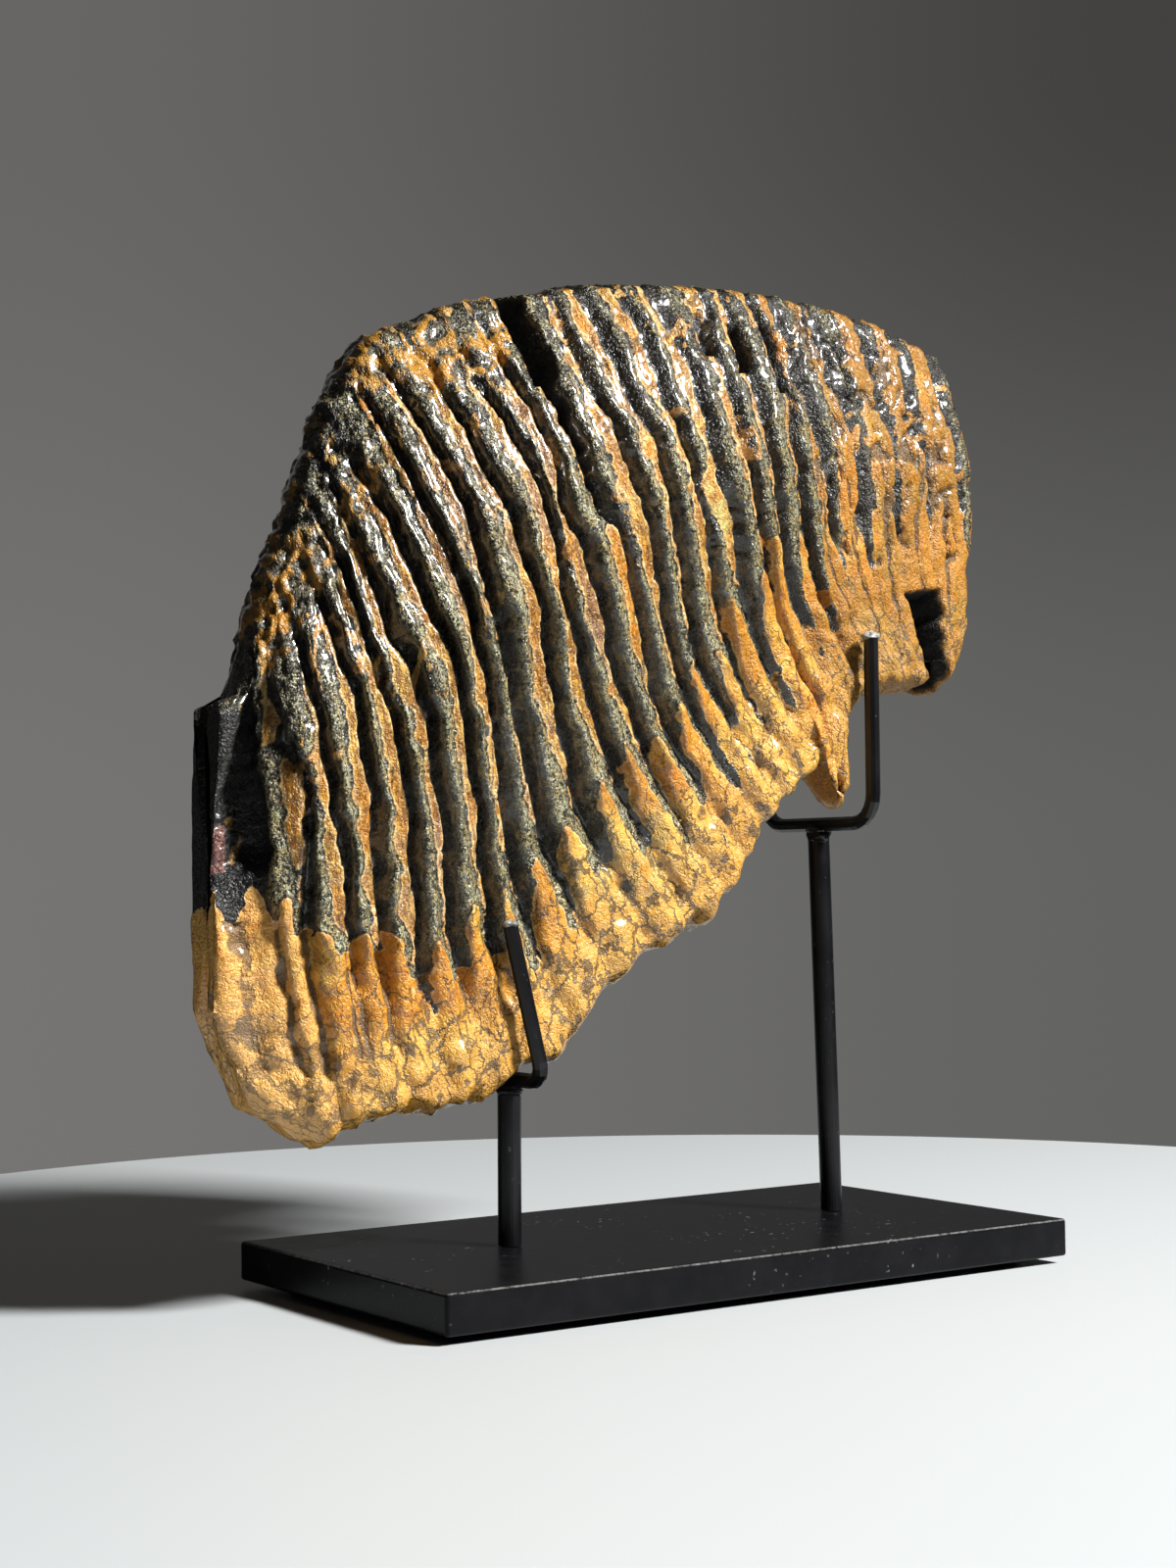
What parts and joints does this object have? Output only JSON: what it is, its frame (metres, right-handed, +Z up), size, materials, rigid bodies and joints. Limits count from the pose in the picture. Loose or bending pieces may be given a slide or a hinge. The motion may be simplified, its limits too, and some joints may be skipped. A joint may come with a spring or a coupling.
{
  "type": "fossil mammoth tooth on a stand",
  "caption": "Fossil mammoth molar with ridged plates, held root down in two bent-rod cradles on round posts above a flat rectangular steel base.",
  "frame": {"origin": "under the middle of the whole part, level with the four pads' feet", "axes": "+Z up, +X along the tooth and the plate's long side towards the tall post, +Y to the back"},
  "size_m": [0.238, 0.1024, 0.2642],
  "materials": {
    "tooth_fossil": "varnished, dark grey-green enamel over ochre root cement",
    "black_steel": "satin black",
    "pad_rubber": "matt"
  },
  "bodies": {
    "root": {"base_plate": "black_steel", "pad_1": "pad_rubber", "pad_2": "pad_rubber", "pad_3": "pad_rubber", "pad_4": "pad_rubber", "post_left": "black_steel", "post_right": "black_steel", "cradle_left": "black_steel", "cradle_right": "black_steel", "tooth": "tooth_fossil"}
  },
  "joints": []
}
